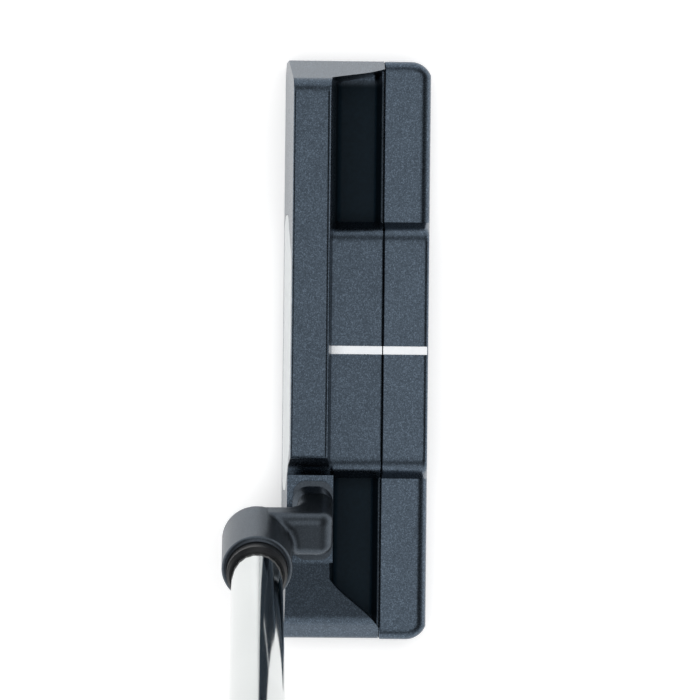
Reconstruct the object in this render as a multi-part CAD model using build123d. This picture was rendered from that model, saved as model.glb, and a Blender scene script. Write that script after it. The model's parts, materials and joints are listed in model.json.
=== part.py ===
from build123d import *
import math
import os

# A right-handed blade putter with a wide rear bar and a crank neck, standing at address.
# Millimetres. +Z is up, the face looks along -Y, the toe is at -X and the heel at +X.
# The origin is on the sole's flat, at the sight line, a set distance behind the leading edge.
# Everything below is laid out from the leading edge and moved to the origin when it is written.

origin_depth = 11.0

# Head
head_length = 113.4
head_depth = 28.75
topline_height = 25.0
toe_slope_run = 5.0
toe_slope_height = 10.5
loft_angle = 3.4
leading_edge_height = 1.8
leading_edge_run = 2.2
leading_edge_radius = 1.6
topline_back = 8.6
back_wall_draft = 5.1
front_edge_radius = 0.45
back_edge_radius = 0.7
front_corner_radius = 2.2
rear_corner_radius = 4.2
toe_round = 3.2

# Flange, centre block and pockets
flange_height = 12.0
block_height = 17.0
block_half_length = 25.1
block_slope = 22.0
block_round = 3.4
pocket_floor = 5.0
pocket_toe_wall = 3.8
pocket_toe_wall_back = 1.7
pocket_heel_wall = 1.4
pocket_lip = 9.6
pocket_lip_run = 0.9
pocket_lip_thickness = 0.3
pocket_fillet = 1.2
pocket_lip_fillet = 0.7
cut_overlap = 0.6
cut_overshoot = 0.5
wing_front_flare = 0.5
wing_bend_depth = 0.6
wing_middle_out = 0.1
wing_middle_back = 1.5
bumper_from_neck = 13.9
bumper_hollow = (2.4, -0.9)
bumper_swell = (6.3, 2.4)

# Heel step that carries the neck, and the slope to the heel, placed from the shaft's foot
neck_from_heel = 29.2
step_start_gap = 6.6
step_end_gap = 3.1
boss_back = 9.9
boss_lean = 0.5
step_run = 1.5
step_toe_height = 2.2
step_edge_round = 0.8
step_scoop_radius = 3.0
shelf_height = 17.4
heel_slope_run = 3.6
heel_shoulder_height = 13.4
bumper_round = 4.0
heel_end_height = 8.6
heel_end_round = 2.5

# Sole
sole_corner_rise = 2.4
sole_corner_step = 3.0
sole_round = 3.0
sole_rise_run = 20.7
rear_sole_rise = 2.4
rear_sole_run = 4.6
rear_sole_step = 2.0

# Rear bar
seam_y = 19.2
seam_gap = 0.10
bar_top_round = 2.1
seam_edge_round = 0.3
block_back_round = 1.0
bar_back_draft = 3.0
dowel_radius = 1.5
dowel_length = 8.0
dowel_spacing = 34.0
dowel_height = 6.5
dowel_clearance = 0.1
film_margin = 1.0
film_half_length = 35.0

# Sight line
line_width = 1.6
line_depth = 0.35
line_sink = 0.05
line_back_margin = 0.2

# Face insert
insert_length = 54.2
insert_past_neck = 0.25
insert_bottom = 1.8
insert_shoulder = 10.6
insert_top_margin = 2.2
insert_taper = 9.0
insert_corner = 4.0
skin_thickness = 1.6
backer_thickness = 2.6
film_thickness = 0.12
insert_clearance = 0.10

# Sole weights
weight_inset = 13.7
weight_y = 7.2
weight_radius = 4.4
weight_height = 3.0
weight_recess = 0.5
weight_clearance = 0.15
shank_radius = 2.0
shank_length = 5.0
washer_thickness = 0.5
socket_across = 3.2
socket_depth = 2.0
weight_chamfer = 0.3
shank_clearance = 0.1

# Neck and shaft, measured along the shaft axis from the sole plane
lie_angle = 70.0
sleeve_gap = 1.05
sleeve_wall = 1.75
sleeve_bottom = 23.6
sleeve_mouth = 41.6
sleeve_bottom_round = 3.0
sleeve_mouth_round = 0.9
arm_bottom = 24.0
post_reach = 14.0
arm_top = 30.2
arm_inset = 0.3
arm_heel_side = 2.4
post_front = 2.9
post_back = 9.7
post_outer_round = 3.0
post_inner_round = 2.4
neck_edge_round = 2.2
arm_root_round = 2.0
foot_lead = 2.0
foot_length = 15.3
foot_front = 2.2
foot_thickness = 1.1
foot_corner = 2.4
skirt_spread = 0.9
skirt_back = 0.15
skirt_height = 1.6
skirt_sink = 0.35
spigot_from_foot = 7.0
spigot_y = 5.9
spigot_radius = 3.0
spigot_length = 8.0
bond_clearance = 0.10

bore_radius = 4.95
bore_bottom = 26.0
ferrule_wall = 0.8
ferrule_seat = 2.5
ferrule_height = 2.6
ferrule_round = 0.5
ferrule_clearance = 0.12

shaft_tip_radius = 4.8
shaft_butt_radius = 7.35
shaft_wall = 0.55
club_length = 864.0
plug_length = 4.0

# Grip
grip_length = 264.0
grip_tape_thickness = 0.2
cap_thickness = 3.5
cap_plug_length = 8.0
cap_round = 1.2
cap_plug_clearance = 0.1
vent_radius = 1.3
# Each section: share of the grip's length, depth, width, corner radius, flat front's distance from the axis
grip_sections = [
    (0.0, 18.0, 18.0, 8.0, 8.6),
    (0.35, 20.5, 21.0, 8.6, 9.3),
    (0.75, 25.5, 24.0, 9.6, 10.6),
    (1.0, 27.0, 25.5, 10.2, 11.2),
]

toe_x = -head_length / 2
heel_x = head_length / 2
sole_flat_half = heel_x - sole_rise_run
weight_x = heel_x - weight_inset
shaft_foot_x = heel_x - neck_from_heel
step_start = shaft_foot_x - step_start_gap
step_end = shaft_foot_x - step_end_gap
bumper_start = shaft_foot_x + bumper_from_neck
foot_start = shaft_foot_x - foot_lead
foot_end = foot_start + foot_length
foot_back = post_back + skirt_back
spigot_x = shaft_foot_x + spigot_from_foot
sleeve_radius = bore_radius + sleeve_wall
arm_toe_side = arm_inset - sleeve_radius
shaft_y = post_front - sleeve_gap - sleeve_radius
ferrule_radius = bore_radius + ferrule_wall
insert_centre = shaft_foot_x + insert_past_neck - insert_length / 2
big = 80.0


def slab(points, plane, start, end):
    """A closed outline on a plane, pushed along the plane's normal from one distance to another."""
    outline = plane * make_face(Polyline(*points, close=True))
    return extrude(outline, end - start, dir=plane.z_dir).moved(Location(plane.z_dir * start))


def along_x(points, start=-big, end=big):
    """A (y, z) outline pushed along X."""
    return slab(points, Plane.YZ, start, end)


def along_y(points, start=-big, end=big):
    """An (x, z) outline pushed along Y."""
    return slab(points, Plane.XZ, -end, -start)


def edge_at(solid, axis, a, b):
    """The edge along an axis whose other two coordinates are nearest to a and b."""
    def distance(edge):
        place = edge.center()
        if axis == Axis.X:
            return math.hypot(place.Y - a, place.Z - b)
        return math.hypot(place.X - a, place.Z - b)

    return solid.edges().filter_by(axis).sort_by(distance)[0]


def face_y(z):
    """Where the lofted face is at a height."""
    return (z - leading_edge_height) * math.tan(math.radians(loft_angle))


def back_wall_y(z):
    """Where the back of the face wall is at a height."""
    return topline_back + (topline_height - z) * math.tan(math.radians(back_wall_draft))


def plan_block(front, back, front_radius, back_radius):
    """The head's plan shape between two depths, as a tall block with rounded corners."""
    block = Pos(0, (front + back) / 2, 0) * Box(head_length, back - front, 2 * big)
    if front_radius > 0:
        block = fillet(block.edges().filter_by(Axis.Z).group_by(Axis.Y)[0], front_radius)
    if back_radius > 0:
        block = fillet(block.edges().filter_by(Axis.Z).group_by(Axis.Y)[-1], back_radius)
    return block


def end_view(top_points):
    """An outline seen from behind the face: the sole with its raised ends, then the given top."""
    sole = [
        (heel_x, sole_corner_rise + sole_corner_step),
        (heel_x - sole_corner_step, sole_corner_rise),
        (sole_flat_half, 0),
        (-sole_flat_half, 0),
        (toe_x + sole_corner_step, sole_corner_rise),
        (toe_x, sole_corner_rise + sole_corner_step),
    ]
    return along_y(sole + top_points)


def low_outline():
    """The flange seen from behind, below the centre block; the body and the rear bar share it."""
    outline = end_view([(toe_x, flange_height), (heel_x, flange_height)])
    for side in (-1, 1):
        corner_x = side * (heel_x - sole_corner_step)
        outline = fillet(edge_at(outline, Axis.Y, corner_x, sole_corner_rise), sole_round)
    return outline


def centre_block(front, back_section):
    """One half of the centre block: sloped ends, rounded tops and a small round beside the seam."""
    run = (block_height - flange_height) * math.tan(math.radians(block_slope))
    top_x = block_half_length - run
    block = along_y([
        (block_half_length, pocket_lip),
        (block_half_length, flange_height),
        (top_x, block_height),
        (-top_x, block_height),
        (-block_half_length, flange_height),
        (-block_half_length, pocket_lip),
    ], front)
    for side in (-1, 1):
        block = fillet(edge_at(block, Axis.Y, side * top_x, block_height), block_round)
    return block & back_section


def crest_edges(solid, y, reach=0.6):
    """The edges along the top of a solid near one depth, leaving out its bottom edge and its uprights."""
    base = solid.bounding_box().min.Z
    near = [e for e in solid.edges() if abs(e.center().Y - y) < reach]
    near = [e for e in near if e.bounding_box().size.Y < 2 * reach and e.center().Z > base + 0.1]
    return [e for e in near if e.bounding_box().size.X > 0.05]


def rod(radius, start, end):
    """A cylinder along a local Z axis between two distances."""
    return Pos(0, 0, (start + end) / 2) * Cylinder(radius, end - start)


def write(node, shape):
    """Writes one node's solids."""
    export_step(Pos(0, -origin_depth, 0) * shape, f"parts/{node}.step")


os.makedirs("parts", exist_ok=True)

# Face wall, seen from the heel: lofted face, flat topline and drafted back
wall = along_x([
    (leading_edge_run, 0),
    (0, leading_edge_height),
    (face_y(topline_height), topline_height),
    (topline_back, topline_height),
    (back_wall_y(0), 0),
])
wall = fillet(edge_at(wall, Axis.X, 0, leading_edge_height), leading_edge_radius)
wall = fillet(edge_at(wall, Axis.X, face_y(topline_height), topline_height), front_edge_radius)
wall = fillet(edge_at(wall, Axis.X, topline_back, topline_height), back_edge_radius)

# Face wall, seen from behind: toe slope, topline, step down to the neck's shelf, and heel slope
shoulder_x = toe_x + toe_slope_run
step_low = shelf_height + step_toe_height
wall_profile = end_view([
    (toe_x, toe_slope_height),
    (shoulder_x, topline_height),
    (step_start, topline_height),
    (step_start + step_run, step_low),
    (step_end, shelf_height),
    (bumper_start, shelf_height),
    (heel_x - heel_slope_run, heel_shoulder_height),
    (heel_x, heel_end_height),
])
for x, z, radius in (
    (shoulder_x, topline_height, toe_round),
    (toe_x, toe_slope_height, toe_round),
    (step_start, topline_height, step_edge_round),
    (step_start + step_run, step_low, step_scoop_radius),
    (bumper_start, shelf_height, bumper_round),
    (heel_x - heel_slope_run, heel_shoulder_height, bumper_round),
    (heel_x, heel_end_height, heel_end_round),
    (heel_x - sole_corner_step, sole_corner_rise, sole_round),
    (toe_x + sole_corner_step, sole_corner_rise, sole_round),
):
    wall_profile = fillet(edge_at(wall_profile, Axis.Y, x, z), radius)

body_plan = plan_block(-1, seam_y, front_corner_radius, 0)
wall = wall & wall_profile & body_plan

# Tail behind the wall: the wall's own outline run back to the seam, then cut down to the flange
tail = along_x([
    (back_wall_y(0) - 1, 0),
    (back_wall_y(topline_height) - 0.5, topline_height),
    (seam_y, topline_height),
    (seam_y, 0),
])
tail = tail & wall_profile & body_plan
lip_foot_y = seam_y - pocket_lip_thickness - pocket_lip_run
pocket_section = along_x([
    (back_wall_y(big / 2), big / 2),
    (back_wall_y(pocket_floor), pocket_floor),
    (lip_foot_y, pocket_floor),
    (seam_y - pocket_lip_thickness, pocket_lip),
    (seam_y + 1, pocket_lip),
    (seam_y + 1, big / 2),
])
for foot_y, radius in ((back_wall_y(pocket_floor), pocket_fillet), (lip_foot_y, pocket_lip_fillet)):
    pocket_section = fillet(edge_at(pocket_section, Axis.X, foot_y, pocket_floor), radius)

pocket_front = back_wall_y(flange_height)
cut_front = back_wall_y(topline_height) - cut_overlap

# The toe wing's inner edge runs back and outward, so that its crest falls from the topline to the bar
wing_middle = (pocket_toe_wall + pocket_toe_wall_back) / 2 + wing_middle_out
wing_line = Spline(
    (toe_x + pocket_toe_wall + wing_front_flare, cut_front),
    (toe_x + pocket_toe_wall, pocket_front + wing_bend_depth),
    (toe_x + wing_middle, (pocket_front + seam_y) / 2 + wing_middle_back),
    (toe_x + pocket_toe_wall_back, seam_y + cut_overshoot),
)
wing_side = make_face(wing_line + Polyline(
    wing_line @ 1,
    (-block_half_length, seam_y + cut_overshoot),
    (-block_half_length, cut_front),
    wing_line @ 0,
))
toe_pocket_plan = extrude(wing_side, 2 * big, both=True)

# The heel bumper's boundary runs back from the neck's shelf in an S toward the rear heel corner
bumper_line = Spline(
    (bumper_start, cut_front),
    (bumper_start + bumper_hollow[0], pocket_front + bumper_hollow[1]),
    (bumper_start + bumper_swell[0], pocket_front + bumper_swell[1]),
    (heel_x - pocket_heel_wall, seam_y + cut_overshoot),
)
pocket_side = make_face(bumper_line + Polyline(
    bumper_line @ 1,
    (block_half_length, seam_y + cut_overshoot),
    (block_half_length, cut_front),
    bumper_line @ 0,
))
heel_pocket_plan = extrude(pocket_side, 2 * big, both=True)
above_flange = Pos(0, 0, flange_height + big) * Box(4 * big, 4 * big, 2 * big)
middle = Pos(0, seam_y, 0) * Box(2 * block_half_length, 2 * (seam_y - cut_front), 4 * big)
for plan in (toe_pocket_plan, heel_pocket_plan):
    tail -= plan & above_flange
    tail -= plan & pocket_section
tail -= middle & above_flange

block_reach = along_x([
    (back_wall_y(0) - 1, 0),
    (back_wall_y(block_height + 1) - 1, block_height + 1),
    (seam_y, block_height + 1),
    (seam_y, 0),
])
block = centre_block(0, block_reach)
block = fillet(crest_edges(block, seam_y), seam_edge_round)
boss = along_x([
    (post_front, pocket_floor / 2),
    (boss_back + boss_lean, pocket_floor / 2),
    (boss_back, shelf_height),
    (post_front, shelf_height),
], step_end, bumper_start)
body = wall + tail
body += block
body += boss & wall_profile

# Rear bar: the same outline behind the seam, with a rounded back and ends
bar_front = seam_y + seam_gap
bar_back_lean = (block_height - rear_sole_rise - rear_sole_step) * math.tan(math.radians(bar_back_draft))
bar_section = along_x([
    (bar_front, 0),
    (head_depth - rear_sole_run, 0),
    (head_depth, rear_sole_rise + rear_sole_step),
    (head_depth - bar_back_lean, block_height + 1),
    (bar_front, block_height + 1),
])
low_bar = bar_section & low_outline() & plan_block(bar_front, head_depth, 0, rear_corner_radius)
top_edges = [e for e in low_bar.edges() if e.center().Z > flange_height - 0.01]
rim = [e for e in top_edges if e.center().Y > bar_front + 0.1]
low_bar = fillet(rim, bar_top_round)
low_bar = fillet(edge_at(low_bar, Axis.X, bar_front, flange_height), seam_edge_round)
back_block = centre_block(0, bar_section)
back_block = fillet(crest_edges(back_block, bar_front), seam_edge_round)
back_crest = crest_edges(back_block, head_depth - bar_back_lean)
back_block = fillet(back_crest, block_back_round)
bar = low_bar + back_block


def line_box(front, back, bottom, top):
    """A straight stretch of the sight line between two depths and two heights."""
    middle = Pos(0, (front + back) / 2, (bottom + top) / 2)
    return middle * Box(line_width, back - front, top - bottom)


# Face insert: skin, backer and film stacked into a lofted pocket
face_plane = Plane(
    (insert_centre, 0, leading_edge_height),
    x_dir=(1, 0, 0),
    z_dir=(0, -math.cos(math.radians(loft_angle)), math.sin(math.radians(loft_angle))),
)
face_height = (topline_height - leading_edge_height) / math.cos(math.radians(loft_angle))


def insert_layer(front, thickness, clearance=0.0):
    """A plate with tapered ends in the face, between two depths behind it."""
    end = insert_length / 2
    top = face_height - insert_top_margin
    outline = Polyline(
        (-end, insert_bottom),
        (end, insert_bottom),
        (end, insert_shoulder),
        (end - insert_taper, top),
        (-end + insert_taper, top),
        (-end, insert_shoulder),
        close=True,
    )
    outline = fillet(make_face(outline).vertices(), insert_corner)
    if clearance > 0:
        outline = offset(outline, -clearance)
    return face_plane * extrude(Pos(0, 0, -front - thickness) * outline, thickness)


insert_depth = skin_thickness + backer_thickness + film_thickness
insert_recess = insert_layer(-3.0, insert_depth + 3.0)
skin = insert_layer(0, skin_thickness, insert_clearance)
backer = insert_layer(skin_thickness, backer_thickness, insert_clearance)
insert_bond = insert_layer(skin_thickness + backer_thickness, film_thickness, insert_clearance)
body -= insert_recess

# Neck: sleeve, arm and post lie square to the shaft; a foot and a spigot join them to the shelf
lie = math.radians(lie_angle)
shaft_plane = Plane(
    (shaft_foot_x, shaft_y, 0),
    x_dir=(math.sin(lie), 0, -math.cos(lie)),
    z_dir=(math.cos(lie), 0, math.sin(lie)),
)
post_near = post_front - shaft_y
post_far = post_back - shaft_y
post_low = arm_bottom - post_reach
crank_side = make_face(Polyline(
    (0, arm_bottom),
    (post_near, arm_bottom),
    (post_near, post_low),
    (post_far, post_low),
    (post_far, arm_top),
    (0, arm_top),
    close=True,
))
arm_width = arm_heel_side - arm_toe_side
crank = Pos(arm_toe_side, 0, 0) * extrude(Plane.YZ * crank_side, arm_width)
crank = fillet(edge_at(crank, Axis.X, post_near, arm_bottom), post_inner_round)
crank = fillet(edge_at(crank, Axis.X, post_far, arm_top), post_outer_round)
sleeve = rod(sleeve_radius, sleeve_bottom, sleeve_mouth)
sleeve = fillet(sleeve.edges().sort_by(Axis.Z)[0], sleeve_bottom_round)
outer_edges = [
    e for e in crank.edges()
    if min(abs(e.center().X - arm_toe_side), abs(e.center().X - arm_heel_side)) < 0.01
]
outer_edges = [e for e in outer_edges if e.center().Y > 0.5 and e.center().Z > post_low + 0.1]
crank = fillet(outer_edges, neck_edge_round)
neck_local = sleeve + crank


def on_sleeve(edge):
    """Whether an edge lies where the arm meets the sleeve's side."""
    place = edge.position_at(0.5)
    touching = abs(math.hypot(place.X, place.Y) - sleeve_radius) < 0.02
    return touching and arm_bottom + 2 < place.Z < arm_top + 2 and edge.length < 2 * sleeve_radius


neck_local = fillet([e for e in neck_local.edges() if on_sleeve(e)], arm_root_round)
neck_local = fillet(neck_local.edges().sort_by(Axis.Z)[-1], sleeve_mouth_round)
neck_local -= rod(bore_radius, bore_bottom, sleeve_mouth + 1)
neck_local -= rod(ferrule_radius + ferrule_clearance, sleeve_mouth - ferrule_seat, sleeve_mouth + 1)
neck = shaft_plane * neck_local
above_shelf = Pos(0, 0, shelf_height + big) * Box(4 * big, 4 * big, 2 * big)
neck = neck & above_shelf

foot_middle = ((foot_start + foot_end) / 2, (foot_front + foot_back) / 2)
foot_outline = RectangleRounded(foot_end - foot_start, foot_back - foot_front, foot_corner)
foot = Pos(foot_middle[0], foot_middle[1], shelf_height) * extrude(foot_outline, foot_thickness)
neck += foot
foot_top = shelf_height + foot_thickness


def post_x(across, z):
    """Where a line of the leaning post, set by its place across the shaft axis, is at a height."""
    return shaft_foot_x + z / math.tan(lie) + across / math.sin(lie)


def skirt_outline(height, spread):
    """The post's root at a height above the foot, spread out on every side."""
    toe_side = post_x(arm_toe_side, foot_top + height) - spread
    heel_side = post_x(arm_heel_side, foot_top + height) + spread
    back_spread = spread * skirt_back / skirt_spread
    depth = post_back - post_front + spread + back_spread
    middle_y = (post_front + post_back + back_spread - spread) / 2
    outline = RectangleRounded(heel_side - toe_side, depth, neck_edge_round + spread)
    return Pos((toe_side + heel_side) / 2, middle_y, foot_top + height) * outline


neck += loft([
    skirt_outline(-foot_thickness / 2, skirt_spread),
    skirt_outline(0, skirt_spread),
], ruled=True)
neck += loft([
    skirt_outline(0, skirt_spread),
    skirt_outline(skirt_height, -skirt_sink),
], ruled=True)
neck += Pos(spigot_x, spigot_y, 0) * rod(spigot_radius, shelf_height - spigot_length, shelf_height + 0.5)
socket_floor = shelf_height - spigot_length - bond_clearance
neck_bond = rod(spigot_radius + bond_clearance, socket_floor, shelf_height)
body -= Pos(spigot_x, spigot_y, 0) * neck_bond
neck_bond -= rod(spigot_radius, shelf_height - spigot_length, shelf_height + 1)
neck_bond = Pos(spigot_x, spigot_y, 0) * neck_bond

# Shaft: one smooth taper from the tip in the sleeve to the butt in the grip
shaft_length = club_length - cap_thickness - bore_bottom
taper = (shaft_butt_radius - shaft_tip_radius) / shaft_length


def shaft_radius(along):
    """The shaft's outer radius at a distance along its axis from the sole plane."""
    return shaft_tip_radius + taper * (along - bore_bottom)


def ring(points):
    """A ring turned about the shaft axis from (radius, distance) points."""
    return shaft_plane * revolve(Plane.XZ * make_face(Polyline(*points, close=True)), Axis.Z)


shaft_end = bore_bottom + shaft_length
shaft = ring([
    (shaft_tip_radius - shaft_wall, bore_bottom),
    (shaft_tip_radius, bore_bottom),
    (shaft_butt_radius, shaft_end),
    (shaft_butt_radius - shaft_wall, shaft_end),
])
plug_end = bore_bottom + plug_length
plug = ring([
    (0, bore_bottom),
    (shaft_tip_radius - shaft_wall, bore_bottom),
    (shaft_radius(plug_end) - shaft_wall, plug_end),
    (0, plug_end),
])
epoxy_end = sleeve_mouth - ferrule_seat
epoxy = ring([
    (shaft_tip_radius, bore_bottom),
    (bore_radius, bore_bottom),
    (bore_radius, epoxy_end),
    (shaft_radius(epoxy_end), epoxy_end),
])
ferrule_end = sleeve_mouth + ferrule_height
ferrule = ring([
    (shaft_radius(epoxy_end), epoxy_end),
    (ferrule_radius, epoxy_end),
    (ferrule_radius, ferrule_end - ferrule_round),
    (ferrule_radius - ferrule_round, ferrule_end),
    (shaft_radius(ferrule_end), ferrule_end),
])

# Grip: a pistol shape with a flat front, over tape, closed by a cap
grip_start = shaft_end - grip_length
tape = ring([
    (shaft_radius(grip_start), grip_start),
    (shaft_radius(grip_start) + grip_tape_thickness, grip_start),
    (shaft_butt_radius + grip_tape_thickness, shaft_end),
    (shaft_butt_radius, shaft_end),
])


def grip_section(share, depth, width, corner, flat):
    """One rounded section at a share of the length, its flat front at a set distance from the axis."""
    outline = RectangleRounded(depth, width, corner)
    return Pos(depth / 2 - flat, 0, grip_start + share * grip_length) * outline


grip_local = loft([grip_section(*row) for row in grip_sections])
grip_core = revolve(Plane.XZ * make_face(Polyline(
    (0, grip_start - 1),
    (shaft_radius(grip_start - 1) + grip_tape_thickness, grip_start - 1),
    (shaft_butt_radius + grip_tape_thickness, shaft_end),
    (0, shaft_end),
    close=True,
)), Axis.Z)
grip = shaft_plane * (grip_local - grip_core)
last = grip_sections[-1]
cap_outline = Pos(last[1] / 2 - last[4], 0, shaft_end) * RectangleRounded(last[1], last[2], last[3])
cap = extrude(cap_outline, cap_thickness)
cap = fillet(cap.faces().sort_by(Axis.Z)[-1].edges(), cap_round)
cap += rod(shaft_butt_radius - shaft_wall - cap_plug_clearance, shaft_end - cap_plug_length, shaft_end)
cap -= rod(vent_radius, shaft_end - cap_plug_length - 1, shaft_end + cap_thickness + 1)
cap = shaft_plane * cap

# Sole weights: a flanged screw and a washer in a stepped hole on each side
weight_names = {-1: "toe_weight_screw", 1: "heel_weight_screw"}
washers = []
for side, node in weight_names.items():
    place = Pos(side * weight_x, weight_y, 0)
    seat = weight_recess + weight_height + washer_thickness
    hole = rod(weight_radius + weight_clearance, -big, seat)
    hole += rod(shank_radius + shank_clearance, 0, seat + shank_length + shank_clearance)
    body -= place * hole
    head = rod(weight_radius, weight_recess, weight_recess + weight_height)
    head = chamfer(head.edges().sort_by(Axis.Z)[0], weight_chamfer)
    socket = extrude(RegularPolygon(socket_across / math.sqrt(3), 6), socket_depth)
    head -= Pos(0, 0, weight_recess) * socket
    shank = rod(shank_radius, weight_recess + weight_height, seat + shank_length)
    write(node, place * (head + shank))
    washer = rod(weight_radius, seat - washer_thickness, seat) - rod(shank_radius, 0, big)
    washers.append(place * washer)

# Bar joint: two dowel pins through a thin film of adhesive
pin_middle = seam_y + seam_gap / 2
film_top = min(pocket_lip, flange_height) - film_margin
film = Pos(0, pin_middle, (film_top + film_margin) / 2) * Box(
    2 * film_half_length, seam_gap, film_top - film_margin
)
pins = []
for side in (-1, 1):
    axis_place = Pos(side * dowel_spacing / 2, pin_middle, dowel_height) * Rot(90, 0, 0)
    pin = axis_place * Cylinder(dowel_radius, dowel_length)
    pins.append(pin)
    hole = axis_place * Cylinder(dowel_radius, dowel_length + 2 * dowel_clearance)
    body -= hole
    bar -= hole
    film -= axis_place * Cylinder(dowel_radius, dowel_length)

# Sight line: one straight groove across both halves of the block, filled with white
groove_floor = block_height - line_depth
line_top = block_height - line_sink
line_start = back_wall_y(block_height)
line_end = head_depth - line_back_margin
front_fill = body & line_box(line_start, seam_y - line_sink, groove_floor, line_top)
back_fill = bar & line_box(bar_front + line_sink, line_end, groove_floor, line_top)
body -= front_fill + line_box(line_start, seam_y + 1, line_top, block_height + 1)
bar -= back_fill + line_box(bar_front - 1, line_end, line_top, block_height + 1)

write("head_body", body)
write("rear_weight_bar", bar)
write("sight_line_front", front_fill)
write("sight_line_rear", back_fill)
write("face_insert_skin", skin)
write("insert_backer", backer)
write("insert_bond_film", insert_bond)
write("hosel_neck", neck)
write("neck_bond_film", neck_bond)
write("ferrule_ring", ferrule)
write("shaft_tube", shaft)
write("shaft_epoxy", epoxy)
write("shaft_tip_plug", plug)
write("weight_washers", Compound(washers))
write("bar_bond_film", film)
write("bar_dowel_pins", Compound(pins))
write("grip_sleeve", grip)
write("grip_tape", tape)
write("grip_cap", cap)
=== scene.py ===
import json
import math
import bmesh
import bpy
from mathutils import Matrix, Vector


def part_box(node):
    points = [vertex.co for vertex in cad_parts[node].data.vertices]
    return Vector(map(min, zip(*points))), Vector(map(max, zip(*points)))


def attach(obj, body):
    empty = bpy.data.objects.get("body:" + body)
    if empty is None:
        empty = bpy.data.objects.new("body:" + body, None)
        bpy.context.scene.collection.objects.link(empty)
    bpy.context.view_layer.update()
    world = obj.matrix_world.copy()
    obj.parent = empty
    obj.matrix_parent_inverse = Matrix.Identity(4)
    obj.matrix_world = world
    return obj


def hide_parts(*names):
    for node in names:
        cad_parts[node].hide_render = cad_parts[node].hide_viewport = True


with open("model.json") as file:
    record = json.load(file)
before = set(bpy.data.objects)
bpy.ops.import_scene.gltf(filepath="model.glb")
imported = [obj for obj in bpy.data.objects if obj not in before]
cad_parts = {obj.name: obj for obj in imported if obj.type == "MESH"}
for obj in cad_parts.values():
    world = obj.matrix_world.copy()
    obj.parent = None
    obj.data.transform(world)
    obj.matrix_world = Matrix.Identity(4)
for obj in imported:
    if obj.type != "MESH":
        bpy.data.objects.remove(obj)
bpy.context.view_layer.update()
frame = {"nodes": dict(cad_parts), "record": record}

nodes = frame["nodes"]
MM = 0.001

# Head body and rear bar: an investment-cast steel head with a second bar bonded behind it.
# Both are bead-blasted and given a thin dark blue coating, whose blasted grains sparkle a little.
# The two pockets are filled in with a matt blue-black paint below their rims; its dark tone also stands
# in for the shade deep in these recesses, so it is partly painted shade.


def new_material(name):
    """A node material, its tree and its main shader."""
    material = bpy.data.materials.new(name)
    material.use_nodes = True
    tree = material.node_tree
    return material, tree, tree.nodes["Principled BSDF"]


def add_node(tree, kind, **values):
    """A node of a kind, with its input sockets or its attributes set by name."""
    node = tree.nodes.new(kind)
    for key, value in values.items():
        if key in node.inputs:
            node.inputs[key].default_value = value
        else:
            setattr(node, key, value)
    return node


def from_point(tree, centre=(0, 0, 0)):
    """The object's own coordinates, measured from a point."""
    place = add_node(tree, "ShaderNodeTexCoord")
    shift = add_node(tree, "ShaderNodeMapping", Location=[-c for c in centre])
    tree.links.new(place.outputs["Object"], shift.inputs["Vector"])
    return shift.outputs[0]


def noise(tree, scale, detail=2.0, roughness=0.5):
    """Noise on the object's own coordinates, in cycles per metre."""
    texture = add_node(tree, "ShaderNodeTexNoise", Scale=scale, Detail=detail, Roughness=roughness)
    tree.links.new(from_point(tree), texture.inputs["Vector"])
    return texture.outputs["Fac"]


def grains(tree, scale):
    """One random value for each small cell of the surface, in cells per metre."""
    texture = add_node(tree, "ShaderNodeTexVoronoi", Scale=scale)
    tree.links.new(from_point(tree), texture.inputs["Vector"])
    split = add_node(tree, "ShaderNodeSeparateColor")
    tree.links.new(texture.outputs["Color"], split.inputs[0])
    return split.outputs[0]


def ramp(tree, source, stops):
    """A colour ramp through (position, colour) stops."""
    node = add_node(tree, "ShaderNodeValToRGB")
    points = node.color_ramp.elements
    while len(points) < len(stops):
        points.new(0.5)
    for point, (position, colour) in zip(points, stops):
        point.position = position
        point.color = (*colour, 1)
    tree.links.new(source, node.inputs["Fac"])
    return node.outputs["Color"]


def spread(tree, source, low, high):
    """A 0 to 1 value stretched to run from low to high."""
    node = add_node(tree, "ShaderNodeMapRange")
    node.inputs["To Min"].default_value = low
    node.inputs["To Max"].default_value = high
    tree.links.new(source, node.inputs["Value"])
    return node.outputs[0]


def bump(tree, shader, height, strength, depth):
    """Small relief, of a depth in metres, on a shader's normal."""
    node = add_node(tree, "ShaderNodeBump", Strength=strength, Distance=depth)
    tree.links.new(height, node.inputs["Height"])
    tree.links.new(node.outputs[0], shader.inputs["Normal"])


def shade(colour, factor):
    """A colour made lighter or darker."""
    return tuple(min(1.0, channel * factor) for channel in colour)


def inside(tree, limits):
    """1 inside the box of (axis, low, high, soft edge) limits and 0 outside it."""
    split = add_node(tree, "ShaderNodeSeparateXYZ")
    tree.links.new(from_point(tree), split.inputs[0])
    result = None
    for axis, low, high, soft in limits:
        for edge, sign in ((low, 1), (high, -1)):
            step = add_node(tree, "ShaderNodeMapRange", interpolation_type="SMOOTHSTEP")
            step.inputs["From Min"].default_value = edge - sign * soft
            step.inputs["From Max"].default_value = edge + sign * soft
            tree.links.new(split.outputs[axis], step.inputs["Value"])
            if result is None:
                result = step.outputs[0]
                continue
            both = add_node(tree, "ShaderNodeMath", operation="MULTIPLY")
            tree.links.new(result, both.inputs[0])
            tree.links.new(step.outputs[0], both.inputs[1])
            result = both.outputs[0]
    return result


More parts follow.
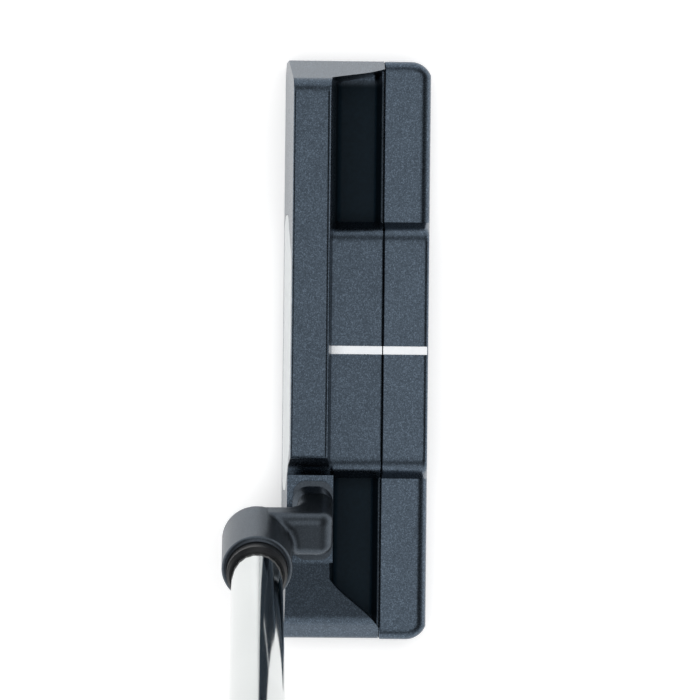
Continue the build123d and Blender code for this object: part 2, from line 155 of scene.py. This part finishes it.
def satin_coat(name, colour, grain, rough, sparkle=0.32, paint_and_shade_limits=None):
    """Blasted metal under a thin coloured coating, with dark matt paint that is partly painted shade
    inside some limits.
    """
    material, tree, shader = new_material(name)
    glint = 1 + 2.4 * sparkle
    stops = [(0.0, shade(colour, 1 - sparkle)), (0.75, shade(colour, 1.1)), (1.0, shade(colour, glint))]
    tone = ramp(tree, grains(tree, grain), stops)
    cloud = ramp(tree, noise(tree, 120, 3.0), [(0.3, (0.92, 0.92, 0.92)), (0.7, (1.0, 1.0, 1.0))])
    tint = add_node(tree, "ShaderNodeMix", data_type="RGBA", blend_type="MULTIPLY")
    tint.inputs[0].default_value = 1.0
    tree.links.new(tone, tint.inputs[6])
    tree.links.new(cloud, tint.inputs[7])
    tone = tint.outputs[2]
    roughness = spread(tree, noise(tree, grain * 0.6), rough - 0.05, rough + 0.07)
    # Inside the pocket limits: matt blue-black paint whose dark tone also stands in for the shade in
    # the deep pockets (painted shade).
    if paint_and_shade_limits:
        paint_and_shade_mask = inside(tree, paint_and_shade_limits)
        paint_and_shade_stops = [(0.3, (0.0032, 0.0082, 0.0130)), (0.7, (0.0044, 0.0112, 0.0180))]
        paint_and_shade_tone = ramp(tree, noise(tree, 1500, 3.0), paint_and_shade_stops)
        mix = add_node(tree, "ShaderNodeMix", data_type="RGBA")
        tree.links.new(paint_and_shade_mask, mix.inputs[0])
        tree.links.new(tone, mix.inputs[6])
        tree.links.new(paint_and_shade_tone, mix.inputs[7])
        tone = mix.outputs[2]
        tree.links.new(spread(tree, paint_and_shade_mask, 1.0, 0.0), shader.inputs["Metallic"])
        paint_extra_roughness = 0.3
        wide = add_node(tree, "ShaderNodeMath", operation="MULTIPLY_ADD")
        wide.inputs[1].default_value = paint_extra_roughness
        tree.links.new(paint_and_shade_mask, wide.inputs[0])
        tree.links.new(roughness, wide.inputs[2])
        roughness = wide.outputs[0]
        tree.links.new(spread(tree, paint_and_shade_mask, 0.5, 0.2), shader.inputs["Specular IOR Level"])
    else:
        shader.inputs["Metallic"].default_value = 1.0
    tree.links.new(tone, shader.inputs["Base Color"])
    tree.links.new(roughness, shader.inputs["Roughness"])
    bump(tree, shader, noise(tree, grain * 0.8, 3.0, 0.7), 0.3, 0.00003)
    return material


def paint(material, *names):
    """Gives CAD nodes one material."""
    for name in names:
        node = nodes[name]
        if not node.material_slots:
            node.data.materials.append(material)
        for slot in node.material_slots:
            slot.material = material


body_low, body_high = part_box("head_body")
wall_depth = 9.5 * MM
rim_height = 11.0 * MM
floor_height = 3.2 * MM
end_wall = 3.9 * MM
seam_margin = 0.15 * MM
# Box of the pockets' walls and floor below the rims, painted dark: partly matt paint, partly painted
# shade of these deep recesses.
pocket_paint_and_shade_limits = [
    ("Y", body_low.y + wall_depth, body_high.y - seam_margin, 0.25 * MM),
    ("X", body_low.x + end_wall, body_high.x - end_wall, 1.0 * MM),
    ("Z", floor_height, rim_height, 0.8 * MM),
]
blue_coat = (0.082, 0.108, 0.140)
bar_lightness = 1.12
grain = 6000
satin = 0.27
paint(satin_coat("body_blue_coat", blue_coat, grain, satin, paint_and_shade_limits=pocket_paint_and_shade_limits), "head_body")
paint(satin_coat("bar_blue_coat", shade(blue_coat, bar_lightness), grain, satin), "rear_weight_bar")

# Neck: a cast steel crank with rounded corners, bonded on a spigot in the heel shelf.
# It has the same blasted finish under a greyer coating, with less sparkle.
paint(satin_coat("neck_grey_coat", (0.080, 0.096, 0.115), grain, 0.36, 0.12), "hosel_neck")

# Sight line: white enamel wiped into two milled grooves in the top of the block and the bar.
# It dries almost flush and slightly uneven.
enamel, tree, shader = new_material("sight_line_enamel")
enamel_stops = [(0.3, (0.90, 0.93, 0.96)), (0.7, (0.95, 0.97, 0.99))]
tree.links.new(ramp(tree, noise(tree, 900), enamel_stops), shader.inputs["Base Color"])
tree.links.new(spread(tree, noise(tree, 1500), 0.28, 0.42), shader.inputs["Roughness"])
bump(tree, shader, noise(tree, 1100), 0.2, 0.00002)
paint(enamel, "sight_line_front", "sight_line_rear")

# Face insert: a white cast elastomer skin with fine moulded dimples, on an aluminium plate.
# A thin film of adhesive holds the stack in its pocket.
skin, tree, shader = new_material("insert_white_elastomer")
skin_stops = [(0.3, (0.74, 0.77, 0.78)), (0.7, (0.80, 0.83, 0.84))]
tree.links.new(ramp(tree, noise(tree, 500), skin_stops), shader.inputs["Base Color"])
tree.links.new(spread(tree, noise(tree, 900), 0.40, 0.52), shader.inputs["Roughness"])
dimples = add_node(tree, "ShaderNodeTexVoronoi", Scale=900, Randomness=0.15)
tree.links.new(from_point(tree), dimples.inputs["Vector"])
bump(tree, shader, dimples.outputs["Distance"], 0.35, 0.00008)
paint(skin, "face_insert_skin")

plate, tree, shader = new_material("insert_alloy_plate")
plate_stops = [(0.3, (0.55, 0.56, 0.58)), (0.7, (0.68, 0.69, 0.71))]
tree.links.new(ramp(tree, noise(tree, 1500), plate_stops), shader.inputs["Base Color"])
shader.inputs["Metallic"].default_value = 1.0
tree.links.new(spread(tree, noise(tree, 700), 0.28, 0.42), shader.inputs["Roughness"])
paint(plate, "insert_backer")

adhesive, tree, shader = new_material("grey_adhesive")
adhesive_stops = [(0.3, (0.010, 0.012, 0.014)), (0.7, (0.028, 0.028, 0.032))]
tree.links.new(ramp(tree, noise(tree, 1200), adhesive_stops), shader.inputs["Base Color"])
tree.links.new(spread(tree, noise(tree, 800), 0.6, 0.8), shader.inputs["Roughness"])
paint(adhesive, "insert_bond_film", "neck_bond_film", "bar_bond_film", "shaft_epoxy")

# Shaft: a drawn steel tube with polished chrome plating, glued in the neck's bore.
# The polish leaves very faint waves and haze.
chrome, tree, shader = new_material("shaft_chrome")
chrome_stops = [(0.3, (0.62, 0.64, 0.635)), (0.7, (0.66, 0.68, 0.675))]
tree.links.new(ramp(tree, noise(tree, 60), chrome_stops), shader.inputs["Base Color"])
shader.inputs["Metallic"].default_value = 1.0
tree.links.new(spread(tree, noise(tree, 400), 0.05, 0.11), shader.inputs["Roughness"])
bump(tree, shader, noise(tree, 250), 0.05, 0.00002)
paint(chrome, "shaft_tube")

# Ferrule: a short turned ring of black plastic between the neck's mouth and the shaft.
# It is polished, with faint marks from turning.
black_ring, tree, shader = new_material("ferrule_black_plastic")
ring_stops = [(0.3, (0.004, 0.005, 0.006)), (0.7, (0.010, 0.011, 0.013))]
tree.links.new(ramp(tree, noise(tree, 800), ring_stops), shader.inputs["Base Color"])
tree.links.new(spread(tree, noise(tree, 1800), 0.25, 0.38), shader.inputs["Roughness"])
bump(tree, shader, noise(tree, 2400), 0.15, 0.00002)
paint(black_ring, "ferrule_ring")

# Sole weights, pins and washers: steel screws turned on a lathe, with rubber washers behind them.
# The lathe leaves fine rings on each screw's face.
for name in ("toe_weight_screw", "heel_weight_screw"):
    low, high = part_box(name)
    turned, tree, shader = new_material(name + "_turned_steel")
    lathe = add_node(tree, "ShaderNodeTexWave", Scale=900, Distortion=0.6, Detail=1.0)
    lathe.wave_type = "RINGS"
    lathe.rings_direction = "Z"
    tree.links.new(from_point(tree, (low + high) / 2), lathe.inputs["Vector"])
    steel_stops = [(0.0, (0.34, 0.35, 0.36)), (1.0, (0.42, 0.43, 0.45))]
    tree.links.new(ramp(tree, lathe.outputs["Fac"], steel_stops), shader.inputs["Base Color"])
    shader.inputs["Metallic"].default_value = 1.0
    tree.links.new(spread(tree, noise(tree, 1500), 0.24, 0.36), shader.inputs["Roughness"])
    bump(tree, shader, lathe.outputs["Fac"], 0.25, 0.00003)
    paint(turned, name)

pin_steel, tree, shader = new_material("pin_ground_steel")
pin_stops = [(0.3, (0.40, 0.41, 0.42)), (0.7, (0.52, 0.53, 0.55))]
tree.links.new(ramp(tree, noise(tree, 2000), pin_stops), shader.inputs["Base Color"])
shader.inputs["Metallic"].default_value = 1.0
tree.links.new(spread(tree, noise(tree, 1500), 0.2, 0.35), shader.inputs["Roughness"])
paint(pin_steel, "bar_dowel_pins")

# Grip: a moulded rubber sleeve slid over tape, with a flat front, shallow cross ribs and a rim.
# It is lofted in rings along the shaft, whose line comes from the record's grip hold.


def black_rubber(name, light=1.0):
    """Matt moulded rubber with a fine pebbled skin."""
    material, tree, shader = new_material(name)
    stops = [(0.3, shade((0.012, 0.014, 0.018), light)), (0.7, shade((0.024, 0.027, 0.033), light))]
    tree.links.new(ramp(tree, noise(tree, 700, 4.0), stops), shader.inputs["Base Color"])
    tree.links.new(spread(tree, noise(tree, 900), 0.62, 0.80), shader.inputs["Roughness"])
    pebbles = add_node(tree, "ShaderNodeTexVoronoi", Scale=1100, Randomness=0.7)
    tree.links.new(from_point(tree), pebbles.inputs["Vector"])
    bump(tree, shader, pebbles.outputs["Distance"], 0.4, 0.00012)
    return material


hold = next(m for m in frame["record"]["mounts"] if m["name"] == "grip_hold")
hold_point = Vector(hold["pos_m"])
hold_axis = Vector(hold["axis"]).normalized()
hold_across = Vector((hold_axis.z, 0, -hold_axis.x))
hold_side = Vector((0, 1, 0))
# The hold, the sleeve's start and its length are measured along the shaft from the sole plane
hold_along = 740 * MM
sleeve_start = 596.5 * MM
sleeve_length = 264 * MM
sleeve_inset = 0.12 * MM
# Share of the length, depth, width, corner radius and the flat front's distance from the axis
sleeve_sections = [
    (0.0, 18.0, 18.0, 8.0, 8.6),
    (0.35, 20.5, 21.0, 8.6, 9.3),
    (0.75, 25.5, 24.0, 9.6, 10.6),
    (1.0, 27.0, 25.5, 10.2, 11.2),
]
ring_points = 96
side_pull = 4
sleeve_rings = 330
rib_pitch = 4.0 * MM
rib_depth = 0.35 * MM
rim_length = 3.0 * MM
rim_depth = 0.3 * MM
tape_radius_start = 6.95 * MM
tape_radius_end = 7.56 * MM
front_start = 0.75
rib_margin = 0.06
rim_blend = 0.5 * MM


def section_at(share):
    """Depth, width, corner radius and flat distance, in metres, at a share of the sleeve's length."""
    for first, second in zip(sleeve_sections, sleeve_sections[1:]):
        if share <= second[0]:
            part = (share - first[0]) / (second[0] - first[0])
            return [(a + (b - a) * part) * MM for a, b in zip(first[1:], second[1:])]
    return [value * MM for value in sleeve_sections[-1][1:]]


def rounded_point(turn, depth, width, corner):
    """A point of a rounded rectangle about its centre, in a direction given by its turn."""
    direction = Vector((math.cos(turn), math.sin(turn)))
    half = Vector((depth / 2 - corner, width / 2 - corner))
    reach = Vector((math.copysign(half.x, direction.x), math.copysign(half.y, direction.y)))
    pull = [min(1.0, side_pull * abs(part)) for part in direction]
    return Vector((reach.x * pull[0], reach.y * pull[1])) + direction * corner


def sleeve_ring(builder, share, relief):
    """One ring of the sleeve's outside."""
    depth, width, corner, flat = section_at(share)
    along = sleeve_start + share * sleeve_length - hold_along
    ring = []
    for index in range(ring_points):
        turn = 2 * math.pi * index / ring_points
        point = rounded_point(turn, depth, width, corner)
        front = max(0.0, -math.cos(turn) - front_start) / (1 - front_start)
        inset = sleeve_inset + relief + rib_relief(share) * min(1.0, 2 * front)
        point -= Vector((math.cos(turn), math.sin(turn))) * inset
        place = hold_point + hold_axis * along
        place += hold_across * (point.x + depth / 2 - flat) + hold_side * point.y
        ring.append(builder.verts.new(place))
    return ring


def rib_relief(share):
    """How deep the front's cross ribs are cut at a share of the length: smooth shallow grooves."""
    if not rib_margin < share < 1 - rib_margin:
        return 0.0
    wave = math.sin(2 * math.pi * share * sleeve_length / rib_pitch)
    return rib_depth * max(0.0, wave)


def inner_ring(builder, share, radius):
    """One round ring of the sleeve's bore."""
    along = sleeve_start + share * sleeve_length - hold_along
    ring = []
    for index in range(ring_points):
        turn = 2 * math.pi * index / ring_points
        place = hold_point + hold_axis * along
        place += hold_across * (math.cos(turn) * radius) + hold_side * (math.sin(turn) * radius)
        ring.append(builder.verts.new(place))
    return ring


builder = bmesh.new()
rings = [inner_ring(builder, 0.0, tape_radius_start)]
for index in range(sleeve_rings):
    share = index / (sleeve_rings - 1)
    from_mouth = share * sleeve_length
    relief = rim_depth * min(1.0, max(0.0, (from_mouth - rim_length) / rim_blend))
    rings.append(sleeve_ring(builder, share, relief))
rings.append(inner_ring(builder, 1.0, tape_radius_end))
for first, second in zip(rings, rings[1:] + rings[:1]):
    for index in range(ring_points):
        after = (index + 1) % ring_points
        builder.faces.new((first[index], first[after], second[after], second[index]))
bmesh.ops.recalc_face_normals(builder, faces=builder.faces)
for face in builder.faces:
    face.smooth = True
sleeve_mesh = bpy.data.meshes.new("grip_rubber_sleeve")
builder.to_mesh(sleeve_mesh)
builder.free()
sleeve = bpy.data.objects.new("grip_rubber_sleeve", sleeve_mesh)
bpy.context.scene.collection.objects.link(sleeve)
sleeve_mesh.materials.append(black_rubber("grip_black_rubber"))
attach(sleeve, "root")
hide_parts("grip_sleeve")
paint(black_rubber("cap_black_rubber", 0.8), "grip_cap")
paint(black_rubber("washer_rubber", 1.2), "weight_washers", "shaft_tip_plug", "grip_tape")

# Studio: a plain white floor that also gives off a little light, in a pale room.
# A large soft panel overhead lights the white parts and is hidden from reflections.
# The room is darker in a ring high up and on the face and back sides, which gives the edges
# their dark bands.
floor_half = 6.0
floor_mesh = bpy.data.meshes.new("studio_floor")
builder = bmesh.new()
bmesh.ops.create_grid(builder, x_segments=1, y_segments=1, size=floor_half)
builder.to_mesh(floor_mesh)
builder.free()
floor = bpy.data.objects.new("studio_floor", floor_mesh)
floor.location.z = -0.4 * MM
bpy.context.scene.collection.objects.link(floor)
floor_finish, tree, shader = new_material("studio_floor_white")
shader.inputs["Base Color"].default_value = (0.9, 0.9, 0.9, 1)
shader.inputs["Roughness"].default_value = 0.9
shader.inputs["Emission Color"].default_value = (1, 1, 1, 1)
shader.inputs["Emission Strength"].default_value = 0.35
floor_mesh.materials.append(floor_finish)

room = bpy.data.worlds.new("studio_room")
bpy.context.scene.world = room
room.use_nodes = True
tree = room.node_tree
background = tree.nodes["Background"]
direction = add_node(tree, "ShaderNodeTexCoord")
split = add_node(tree, "ShaderNodeSeparateXYZ")
tree.links.new(direction.outputs["Generated"], split.inputs[0])
room_stops = [(0.0, 1.0), (0.45, 1.0), (0.66, 0.34), (0.86, 0.30), (0.95, 0.88), (1.0, 1.0)]
room_tone = ramp(tree, split.outputs["Z"], [(height, (level,) * 3) for height, level in room_stops])
side = add_node(tree, "ShaderNodeMath", operation="ABSOLUTE")
tree.links.new(split.outputs["Y"], side.inputs[0])
side_stops = [(0.0, 1.0), (0.25, 1.0), (0.50, 0.22), (1.0, 0.18)]
side_tone = ramp(tree, side.outputs[0], [(reach, (level,) * 3) for reach, level in side_stops])
room_mix = add_node(tree, "ShaderNodeMix", data_type="RGBA", blend_type="MULTIPLY")
above_horizon = add_node(tree, "ShaderNodeMapRange")
above_horizon.inputs["From Min"].default_value = 0.12
above_horizon.inputs["From Max"].default_value = 0.32
tree.links.new(split.outputs["Z"], above_horizon.inputs["Value"])
tree.links.new(above_horizon.outputs[0], room_mix.inputs[0])
tree.links.new(room_tone, room_mix.inputs[6])
tree.links.new(side_tone, room_mix.inputs[7])
tree.links.new(room_mix.outputs[2], background.inputs["Color"])
background.inputs["Strength"].default_value = 1.0

panel_height = 1.5
panel_power = 15.0
panel_data = bpy.data.lights.new("studio_panel", "AREA")
panel_data.size = 1.2
panel_data.energy = panel_power
panel = bpy.data.objects.new("studio_panel", panel_data)
panel.location.z = panel_height
panel.visible_glossy = False
bpy.context.scene.collection.objects.link(panel)

# Camera: high above the sight line, looking down at address, with the toe at the top.
# It is a long lens, tilted a little towards the face.
camera_height = 0.760
camera_depth = -0.0195
camera_tilt = math.radians(-1.65)
camera_roll = math.radians(0.6)
camera_data = bpy.data.cameras.new("address_camera")
camera = bpy.data.objects.new("address_camera", camera_data)
bpy.context.scene.collection.objects.link(camera)
camera_data.sensor_width = 36
camera_data.lens = 196.6
camera_data.clip_end = 20
right = Vector((0, math.cos(camera_tilt), -math.sin(camera_tilt)))
up = Vector((-1, 0, 0))
back = right.cross(up)
turned = Matrix((right, up, back)).transposed() @ Matrix.Rotation(camera_roll, 3, "Z")
camera.matrix_world = Matrix.Translation((0, camera_depth, camera_height)) @ turned.to_4x4()
bpy.context.scene.camera = camera
bpy.context.scene.view_settings.view_transform = "Standard"
